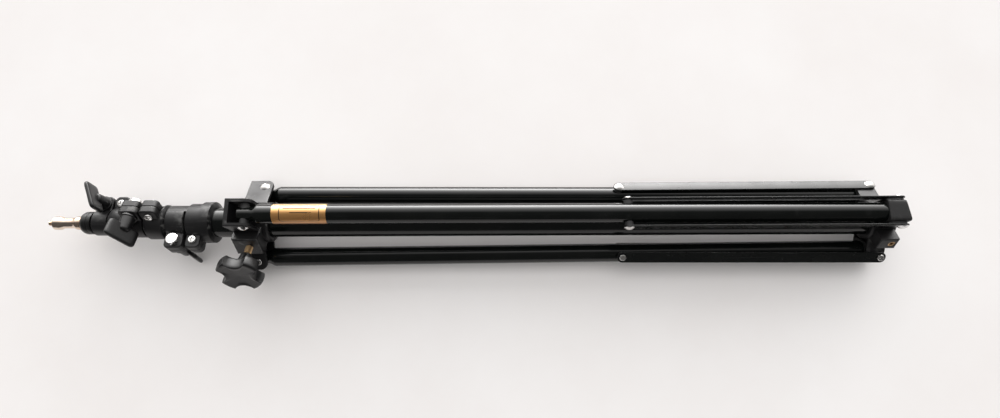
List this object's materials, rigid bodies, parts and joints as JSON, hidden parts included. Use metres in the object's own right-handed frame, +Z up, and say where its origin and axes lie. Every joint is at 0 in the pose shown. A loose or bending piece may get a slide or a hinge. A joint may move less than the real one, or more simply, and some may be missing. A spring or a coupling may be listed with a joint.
{
  "type": "lighting stand",
  "caption": "Folding telescopic tripod lighting stand, stored folded and lying down, with clamped risers, a locking spider and a lamp stud.",
  "frame": {"origin": "under the middle of the folded stand, on the surface that it lies on", "axes": "+X along the column from the lamp stud to the feet, +Z up off the surface, +Y to the left seen from the stud"},
  "size_m": [0.9892, 0.1352, 0.0996],
  "materials": {
    "black_tube": "glossy black enamel",
    "black_casting": "satin black powder coat",
    "black_bar": "semi-gloss black enamel",
    "black_plastic": "moulded, satin",
    "black_rubber": "matt",
    "nylon": "dark nylon, matt",
    "bright_steel": "bright zinc plate",
    "spigot_metal": "turned, bright",
    "brass": "turned, dull",
    "gold_label": "printed foil"
  },
  "bodies": {
    "column": {"column_tube": "black_tube", "column_plug": "black_plastic", "lower_collar": "black_casting", "collar_set_screw": "brass", "collar_pivot_pins": "bright_steel", "column_clamp_body": "black_casting", "column_clamp_sleeve": "nylon", "column_clamp_hex_bolt": "bright_steel", "column_clamp_fixed_screw": "bright_steel"},
    "lower_riser": {"lower_riser_tube": "black_tube", "lower_riser_guide_bush": "nylon", "middle_clamp_body": "black_casting", "middle_clamp_sleeve": "nylon", "middle_clamp_hex_bolt": "bright_steel", "middle_clamp_fixed_screw": "bright_steel"},
    "middle_riser": {"middle_riser_tube": "black_tube", "middle_riser_guide_bush": "nylon", "top_clamp_body": "black_casting", "top_clamp_sleeve": "nylon", "top_clamp_hex_bolt": "bright_steel", "top_clamp_fixed_screw": "bright_steel"},
    "top_riser": {"top_riser_tube": "black_tube", "top_riser_guide_bush": "nylon", "end_cap": "black_plastic", "spigot": "spigot_metal", "spigot_screw": "bright_steel"},
    "column_clamp_knob": {"column_clamp_t_knob": "black_plastic", "column_clamp_knob_insert": "brass"},
    "middle_clamp_knob": {"middle_clamp_t_knob": "black_plastic", "middle_clamp_knob_insert": "brass"},
    "top_clamp_knob": {"top_clamp_t_knob": "black_plastic", "top_clamp_knob_insert": "brass"},
    "spider": {"spider_collar": "black_casting", "spider_liner": "nylon", "pressure_pad": "brass", "leg_pivot_bolts": "bright_steel"},
    "lock_knob": {"star_knob": "black_plastic", "lock_screw": "brass"},
    "leg_a": {"leg_a_tube": "black_tube", "leg_a_pivot_bush": "nylon", "leg_a_brace_spacer": "nylon", "leg_a_foot": "black_rubber"},
    "brace_a": {"brace_a_head_side": "black_bar", "brace_a_screw_side": "black_bar", "brace_a_bolt": "bright_steel"},
    "leg_b": {"leg_b_tube": "black_tube", "leg_b_pivot_bush": "nylon", "leg_b_brace_spacer": "nylon", "leg_b_foot": "black_rubber", "label_plate": "gold_label"},
    "brace_b": {"brace_b_head_side": "black_bar", "brace_b_screw_side": "black_bar", "brace_b_bolt": "bright_steel"},
    "leg_c": {"leg_c_tube": "black_tube", "leg_c_pivot_bush": "nylon", "leg_c_brace_spacer": "nylon", "leg_c_foot": "black_rubber"},
    "brace_c": {"brace_c_head_side": "black_bar", "brace_c_screw_side": "black_bar", "brace_c_bolt": "bright_steel"}
  },
  "joints": [
    {"name": "lower_riser_slide", "type": "slide", "parent": "column", "child": "lower_riser", "axis": [-1, 0, 0], "range_m": [0, 0.62]},
    {"name": "middle_riser_slide", "type": "slide", "parent": "lower_riser", "child": "middle_riser", "axis": [-1, 0, 0], "range_m": [0, 0.62]},
    {"name": "top_riser_slide", "type": "slide", "parent": "middle_riser", "child": "top_riser", "axis": [-1, 0, 0], "range_m": [0, 0.62]},
    {"name": "spider_slide", "type": "slide", "parent": "column", "child": "spider", "axis": [1, 0, 0], "range_m": [0, 0.2485]},
    {"name": "leg_a_fold", "type": "hinge", "parent": "spider", "child": "leg_a", "pos_m": [-0.24684, 0.05096, 0.01867], "axis": [0, 0.5, 0.866], "range_deg": [0, 38.49]},
    {"name": "leg_b_fold", "type": "hinge", "parent": "spider", "child": "leg_b", "pos_m": [-0.24684, 0.01286, 0.08467], "axis": [0, -1, 0], "range_deg": [0, 38.49]},
    {"name": "leg_c_fold", "type": "hinge", "parent": "spider", "child": "leg_c", "pos_m": [-0.24684, -0.02525, 0.01867], "axis": [0, 0.5, -0.866], "range_deg": [0, 38.49]},
    {"name": "brace_a_fold", "type": "hinge", "parent": "column", "child": "brace_a", "pos_m": [0.48564, 0.04923, 0.01967], "axis": [0, -0.5, -0.866], "range_deg": [0, 61.57]},
    {"name": "brace_b_fold", "type": "hinge", "parent": "column", "child": "brace_b", "pos_m": [0.48564, 0.01286, 0.08267], "axis": [0, 1, 0], "range_deg": [0, 61.57]},
    {"name": "brace_c_fold", "type": "hinge", "parent": "column", "child": "brace_c", "pos_m": [0.48564, -0.02352, 0.01967], "axis": [0, -0.5, 0.866], "range_deg": [0, 61.57]},
    {"name": "lock_knob_turn", "type": "hinge", "parent": "spider", "child": "lock_knob", "pos_m": [-0.24804, -0.02049, 0.05992], "axis": [0, -0.866, 0.5], "range_deg": [0, 405]},
    {"name": "column_clamp_knob_turn", "type": "hinge", "parent": "column", "child": "column_clamp_knob", "pos_m": [-0.33914, -0.01209, 0.04597], "axis": [0, -0.2079, -0.9781], "range_deg": [0, 450]},
    {"name": "middle_clamp_knob_turn", "type": "hinge", "parent": "lower_riser", "child": "middle_clamp_knob", "pos_m": [-0.38714, 0.02258, 0.06151], "axis": [0, -0.9063, 0.4226], "range_deg": [0, 450]},
    {"name": "top_clamp_knob_turn", "type": "hinge", "parent": "middle_riser", "child": "top_clamp_knob", "pos_m": [-0.42864, 0.03316, 0.03781], "axis": [0, 0.1392, 0.9903], "range_deg": [0, 450]}
  ],
  "couplings": [
    {"joint": "leg_a_fold", "follows": "spider_slide", "rad_per_m": 2.7019},
    {"joint": "leg_b_fold", "follows": "spider_slide", "rad_per_m": 2.7019},
    {"joint": "leg_c_fold", "follows": "spider_slide", "rad_per_m": 2.7019},
    {"joint": "brace_a_fold", "follows": "spider_slide", "rad_per_m": 4.3228},
    {"joint": "brace_b_fold", "follows": "spider_slide", "rad_per_m": 4.3228},
    {"joint": "brace_c_fold", "follows": "spider_slide", "rad_per_m": 4.3228}
  ]
}
